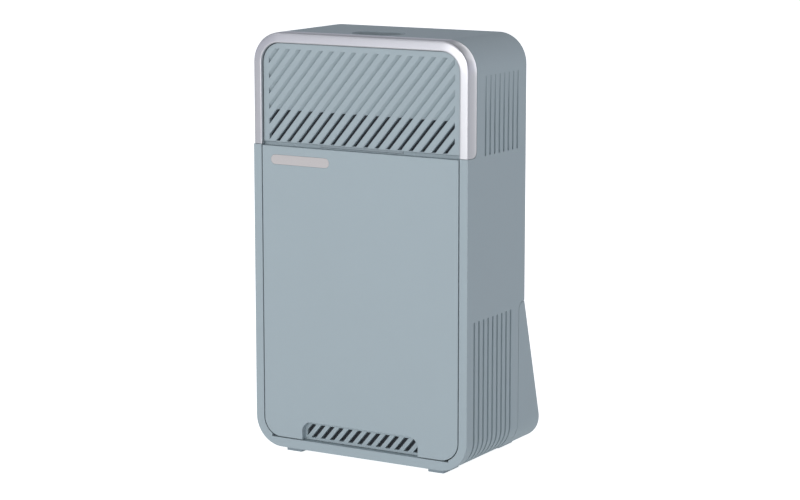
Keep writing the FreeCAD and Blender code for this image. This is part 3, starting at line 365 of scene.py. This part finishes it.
# distance in from the outer face, distance back from the front plane (None: from the rear edge), offset
SECTION = [(2.1, None, 0.0), (0.30, None, 0.0), (0.08, None, -0.09), (0.0, None, -0.32),
           (0.0, 5.0, 0), (0.02, 3.6, 0), (0.06, 2.4, 0), (0.11, 1.5, 0), (0.17, 0.95, 0), (0.27, 0.62, 0),
           (0.45, 0.42, 0), (0.72, 0.32, 0), (1.2, 0.255, 0), (2.0, 0.18, 0), (2.8, 0.11, 0), (3.6, 0.05, 0),
           (4.3, 0.0, 0), (4.52, 0.02, 0), (4.70, 0.10, 0), (4.83, 0.24, 0), (4.87, 0.42, 0), (4.87, 2.1, 0),
           (2.1, 2.1, 0)]
rings = []
stations = [(t, 1) for t in arch_ts()] + [(t, -1) for t in arch_ts()[::-1][1:]]
for t, side in stations:
    (ox, oz), (ix, iz) = arch_station(t)
    up_ = oz - low_z
    back = rear
    if up_ < TAIL and ox > half_w - 0.01:
        back = rear - (TAIL - math.sqrt(max(0.0, TAIL ** 2 - (TAIL - up_) ** 2)))
    # the top bar leans back a little more than the legs
    lean = 1.0 + 1.0 * min(1.0, max(0.0, (oz - (top_z - R_OUT)) / R_OUT))
    ring = []
    for d, y_, off in SECTION:
        f = d / 4.87
        if y_ is None:
            y = back + off
        else:
            y = min(front + (y_ * lean if 0.3 < d < 4.4 and y_ < 0.5 else y_), back - 0.4)
        ring.append(mm(side * (ox + (ix - ox) * f), y, oz + (iz - oz) * f))
    rings.append(ring)
bm = bmesh.new()
loft(bm, rings)
piece("arch_band", bm, "trim", "housing", sharp=50, replaces=("arch_trim",))

# ------------------------------------------------------------------ screws with driver recesses
def smooth(a, b, x):
    t = min(1.0, max(0.0, (x - a) / (b - a)))
    return t * t * (3 - 2 * t)


def pan_head(bm, centre, out, radius, head, shank_r, shank_l, dome=0.30, star=4):
    """Screw whose head's seat is at `centre` and whose head faces along `out`. Millimetres."""
    out = Vector(out).normalized()
    side = out.orthogonal().normalized()
    other = out.cross(side)
    seg, steps = 48, 13

    def put(x, y, h):
        return bm.verts.new((Vector(centre) + side * x + other * y + out * h) / 1000.0)

    def height(x, y):
        r = math.hypot(x, y) / radius
        h = head * (1 - dome * r * r)
        if star == 4:
            a, b = sorted((abs(x) / radius, abs(y) / radius))
            dip = (1 - smooth(0.11, 0.17, a)) * (1 - smooth(0.50, 0.58, b))
            dip = max(dip, 1 - smooth(0.18, 0.30, r))
        else:
            ang = math.atan2(y, x)
            edge = 0.44 + 0.07 * math.cos(6 * ang)
            dip = 1 - smooth(edge - 0.05, edge + 0.05, r)
        return h - dip * head * 0.55

    mid = put(0, 0, height(0, 0))
    rings = []
    for k in range(1, steps + 1):
        r = radius * (k / steps) ** 0.9
        rings.append([put(r * math.cos(2 * math.pi * i / seg), r * math.sin(2 * math.pi * i / seg),
                          height(r * math.cos(2 * math.pi * i / seg), r * math.sin(2 * math.pi * i / seg)))
                      for i in range(seg)])
    for r, h in ((radius, head * 0.12), (radius * 0.97, 0.0), (shank_r, 0.0), (shank_r, 0.3 - shank_l),
                 (shank_r * 0.6, -shank_l)):
        rings.append([put(r * math.cos(2 * math.pi * i / seg), r * math.sin(2 * math.pi * i / seg), h)
                      for i in range(seg)])
    for i in range(seg):
        bm.faces.new((mid, rings[0][i], rings[0][(i + 1) % seg]))
    for a, b in zip(rings, rings[1:]):
        for i in range(seg):
            j = (i + 1) % seg
            bm.faces.new((a[i], b[i], b[j], a[j]))
    bm.faces.new(rings[-1][::-1])


def box_mm(name):
    a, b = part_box(name)
    return [v * 1000 for v in a], [v * 1000 for v in b]


plo, phi = box_mm("panel_screws")
bm = bmesh.new()
for sx in (-1, 1):
    for x, z in ((50.0, 206.0), (56.8, 90.0)):
        pan_head(bm, (sx * x, phi[1] - 1.2, z), (0, 1, 0), 2.78, 1.2, 1.38, phi[1] - 1.2 - plo[1] - 0.01)
piece("panel_screw_set", bm, "screw", "housing", replaces=("panel_screws",))
flo, fhi = box_mm("fan_screws")
bm = bmesh.new()
for sx in (-1, 1):
    for sz in (-1, 1):
        pan_head(bm, (25.0 * sx, 18.6, 150.0 + 25.0 * sz), (0, 1, 0), fhi[0] - 25.0 - 0.02, fhi[1] - 18.6, 1.9,
                 18.6 - flo[1] - 0.01, dome=0.45)
piece("fan_screw_set", bm, "screw", "housing", replaces=("fan_screws",))
clo, chi = box_mm("cover_screws")
bm = bmesh.new()
for sx in (-1, 1):
    r = chi[0] - 30.0
    pan_head(bm, (30.0 * sx, 27.0, clo[2] + 1.2), (0, 0, -1), r - 0.02, 1.19, 1.38, chi[2] - clo[2] - 1.22)
piece("cover_screw_set", bm, "screw", "housing", replaces=("cover_screws",))


# ------------------------------------------------------------------ connector contacts and lamps
def tube(bm, pts, r, seg=8):
    """Round wire along a polyline in the YZ plane or any plane across X. Millimetres."""
    rings = []
    for i, p in enumerate(pts):
        a = Vector(pts[max(0, i - 1)])
        b = Vector(pts[min(len(pts) - 1, i + 1)])
        d = (b - a).normalized()
        u = Vector((1, 0, 0))
        if abs(d.dot(u)) > 0.9:
            u = Vector((0, 0, 1))
        v = d.cross(u).normalized()
        u = v.cross(d).normalized()
        rings.append([(Vector(p) + u * r * math.cos(2 * math.pi * k / seg) + v * r * math.sin(2 * math.pi * k / seg)) / 1000.0
                      for k in range(seg)])
    loft(bm, rings)


def block(bm, x0, x1, y0, y1, z0, z1, r=0.12):
    """Box with chamfered edges. Millimetres."""
    part = bmesh.new()
    bmesh.ops.create_cube(part, size=1.0)
    for v in part.verts:
        v.co = Vector(((x0 + x1) / 2 + v.co.x * (x1 - x0), (y0 + y1) / 2 + v.co.y * (y1 - y0),
                       (z0 + z1) / 2 + v.co.z * (z1 - z0))) / 1000.0
    bmesh.ops.bevel(part, geom=part.edges[:], offset=r / 1000.0, segments=2, affect="EDGES", profile=0.6)
    me = bpy.data.meshes.new("tmp_block")
    part.to_mesh(me)
    part.free()
    bm.from_mesh(me)
    bpy.data.meshes.remove(me)


IO_TOP, FACE = 16.2, 20.4
JACKS = (-39.0, -25.0, -11.0, 3.0)
bm = bmesh.new()
for x in JACKS:
    for k in range(8):
        cx = x - 3.57 + 1.02 * k
        tube(bm, [(cx, 18.9, IO_TOP + 10.2), (cx, 18.2, IO_TOP + 9.6), (cx, 16.0, IO_TOP + 8.3), (cx, 13.0, IO_TOP + 6.9),
                  (cx, 11.4, IO_TOP + 6.4), (cx, 10.2, IO_TOP + 6.6), (cx, 9.0, IO_TOP + 7.4)], 0.2)
piece("jack_contacts", bm, "gold", "housing")
bm = bmesh.new()
for x in (25.3,):
    for z in (1.2, 8.8):
        for k in (-3.5, -1.0, 1.0, 3.5):
            block(bm, x + k - 0.6, x + k + 0.6, 10.5, 19.0, IO_TOP + z + 2.88, IO_TOP + z + 3.02, 0.03)
        for k in (-4.0, -2.0, 0.0, 2.0, 4.0):
            block(bm, x + k - 0.35, x + k + 0.35, 9.0, 12.5, IO_TOP + z + 2.86, IO_TOP + z + 3.02, 0.03)
piece("usb_contacts", bm, "gold", "housing")
bm = bmesh.new()
rings = []
for y, r in ((9.05, 1.03), (17.6, 1.03), (18.6, 1.0), (19.05, 0.82), (19.2, 0.45)):
    rings.append([Vector((43.6 + r * math.cos(2 * math.pi * k / 24), y, IO_TOP + 5.8 + r * math.sin(2 * math.pi * k / 24))) / 1000.0
                  for k in range(24)])
loft(bm, rings)
piece("dc_pin_sleeve", bm, "metal_can", "housing")
bm = bmesh.new()
rings = []
for y, r in ((FACE + 0.02, 3.16), (FACE + 0.02, 3.75), (FACE - 0.25, 3.85), (FACE - 0.25, 3.10), (12.0, 3.10), (12.0, 3.13)):
    rings.append([Vector((43.6 + r * math.cos(2 * math.pi * k / 40), y, IO_TOP + 5.8 + r * math.sin(2 * math.pi * k / 40))) / 1000.0
                  for k in range(40)])
loft(bm, rings, caps=False)
piece("dc_collar", bm, "metal_can", "housing")

MAT["lamp_green"] = plastic("lamp_green", (0.10, 0.42, 0.14, 1), rough=0.25, depth=0.002)
MAT["lamp_amber"] = plastic("lamp_amber", (0.60, 0.33, 0.05, 1), rough=0.25, depth=0.002)
for name, off in (("lamp_green", -4.3), ("lamp_amber", 4.3)):
    bm = bmesh.new()
    for x in JACKS:
        block(bm, x + off - 1.35, x + off + 1.35, FACE - 0.6, FACE + 0.12, IO_TOP + 11.5, IO_TOP + 12.9, 0.15)
    ob = piece("port_" + name, bm, "clear", "housing")
    ob.data.materials[0] = MAT[name]

# shield seams and spring tongues on the two metal connector blocks
bm = bmesh.new()
for x in (-46.0, 10.0):
    block(bm, x - 0.35, x + 0.35, FACE - 0.4, FACE + 0.10, IO_TOP + 3.0, IO_TOP + 9.0, 0.15)
for x in (-32.0, -18.0, -4.0):
    block(bm, x - 0.45, x + 0.45, FACE - 0.4, FACE + 0.10, IO_TOP + 3.0, IO_TOP + 9.0, 0.15)
for z in (1.2, 8.8):
    for x in (21.6, 29.0):
        tube(bm, [(x, 20.2, IO_TOP + z + 5.75), (x, 18.5, IO_TOP + z + 5.55), (x, 16.5, IO_TOP + z + 5.2),
                  (x, 14.0, IO_TOP + z + 5.6)], 0.32)
piece("shield_springs", bm, "metal_can", "housing")


# ------------------------------------------------------------------ drive lids and blank labels
MAT["lid"] = metal("lid_aluminium", (0.56, 0.57, 0.585), rough=0.30, brushed=(1, 1, 26), scale=150.0, depth=0.002)
MAT["label"] = plastic("label_paper", (0.78, 0.785, 0.78, 1), rough=0.5, grain=2600, depth=0.003)
MAT["label_band"] = plastic("label_band", (0.10, 0.22, 0.34, 1), rough=0.45, grain=2600, depth=0.003)
MAT["plate_black"] = metal("plate_black", (0.035, 0.036, 0.04), rough=0.45, scale=400.0, metallic=0.3)


def rr(x, z, x0, x1, z0, z1, r):
    """Signed distance to a rounded rectangle (negative inside)."""
    cx, cz = (x0 + x1) / 2, (z0 + z1) / 2
    dx = abs(x - cx) - (x1 - x0) / 2 + r
    dz = abs(z - cz) - (z1 - z0) / 2 + r
    return math.hypot(max(dx, 0), max(dz, 0)) + min(max(dx, dz), 0) - r


for word in ("lower", "upper"):
    dlo, dhi = box_mm(word + "_drive")
    x0, x1, z0, z1, y = dlo[0] + 0.5, dhi[0] - 6.5, dlo[2] + 0.6, dhi[2] - 0.6, dlo[1]
    mz = (z0 + z1) / 2
    holes = [(x0 + 3.6, z0 + 3.6), (x0 + 3.6, z1 - 3.6), (x1 - 4.0, z0 + 3.6), (x1 - 4.0, z1 - 3.6),
             (x0 + 50.0, z0 + 2.9), (x0 + 50.0, z1 - 2.9)]
    hub = (x0 + 33.5, mz)

    def relief(x, z):
        h = 0.10 + 0.16 * (1 - smooth(-0.5, 0.2, rr(x, z, x0 + 0.6, x1 - 0.6, z0 + 0.6, z1 - 0.6, 2.0)))
        up = 1 - smooth(-0.6, 0.4, rr(x, z, x0 + 6.8, x1 - 7.0, z0 + 6.4, z1 - 6.4, 7.0))
        h += 0.26 * up
        ring = abs(math.hypot(x - hub[0], z - hub[1]) - 29.0)
        h -= 0.12 * (1 - smooth(0.5, 1.1, ring)) * up
        for hx, hz in holes:
            h -= 0.22 * (1 - smooth(2.3, 2.9, math.hypot(x - hx, z - hz)))
        return max(0.02, h)

    bm = bmesh.new()
    nx, nz = 150, 110
    grid = [[bm.verts.new(mm(x0 + (x1 - x0) * i / nx, y - relief(x0 + (x1 - x0) * i / nx, z0 + (z1 - z0) * k / nz),
                             z0 + (z1 - z0) * k / nz)) for k in range(nz + 1)] for i in range(nx + 1)]
    for i in range(nx):
        for k in range(nz):
            bm.faces.new((grid[i][k], grid[i + 1][k], grid[i + 1][k + 1], grid[i][k + 1]))
    rim = ([grid[i][0] for i in range(nx + 1)] + [grid[nx][k] for k in range(1, nz + 1)]
           + [grid[i][nz] for i in range(nx - 1, -1, -1)] + [grid[0][k] for k in range(nz - 1, 0, -1)])
    base = [bm.verts.new((v.co.x, y / 1000.0, v.co.z)) for v in rim]
    for i in range(len(rim)):
        j = (i + 1) % len(rim)
        bm.faces.new((rim[i], rim[j], base[j], base[i]))
    ob = piece(word + "_drive_lid", bm, "drive_case", word + "_carrier", sharp=40)
    ob.data.materials[0] = MAT["lid"]
    bm = bmesh.new()
    for hx, hz in holes:
        pan_head(bm, (hx, y - 0.02, hz), (0, -1, 0), 1.95, 0.40, 0.8, 0.6, dome=0.12, star=6)
    piece(word + "_lid_screws", bm, "screw", word + "_carrier")
    flat = y - 0.52
    bm = bmesh.new()
    block(bm, x0 + 12, x1 - 13, flat - 0.10, flat + 0.06, z0 + 13, z1 - 13, 0.04)
    ob = piece(word + "_drive_label", bm, "mark", word + "_carrier")
    ob.data.materials[0] = MAT["label"]
    bm = bmesh.new()
    block(bm, x0 + 12.6, x0 + 26, flat - 0.14, flat - 0.06, z0 + 13.6, z1 - 13.6, 0.03)
    for k in range(4):
        block(bm, x0 + 31, x1 - 18 - 9 * (k % 2), flat - 0.13, flat - 0.06, z1 - 20 - 6.5 * k, z1 - 18.9 - 6.5 * k, 0.03)
    ob = piece(word + "_label_bands", bm, "mark", word + "_carrier")
    ob.data.materials[0] = MAT["label_band"]
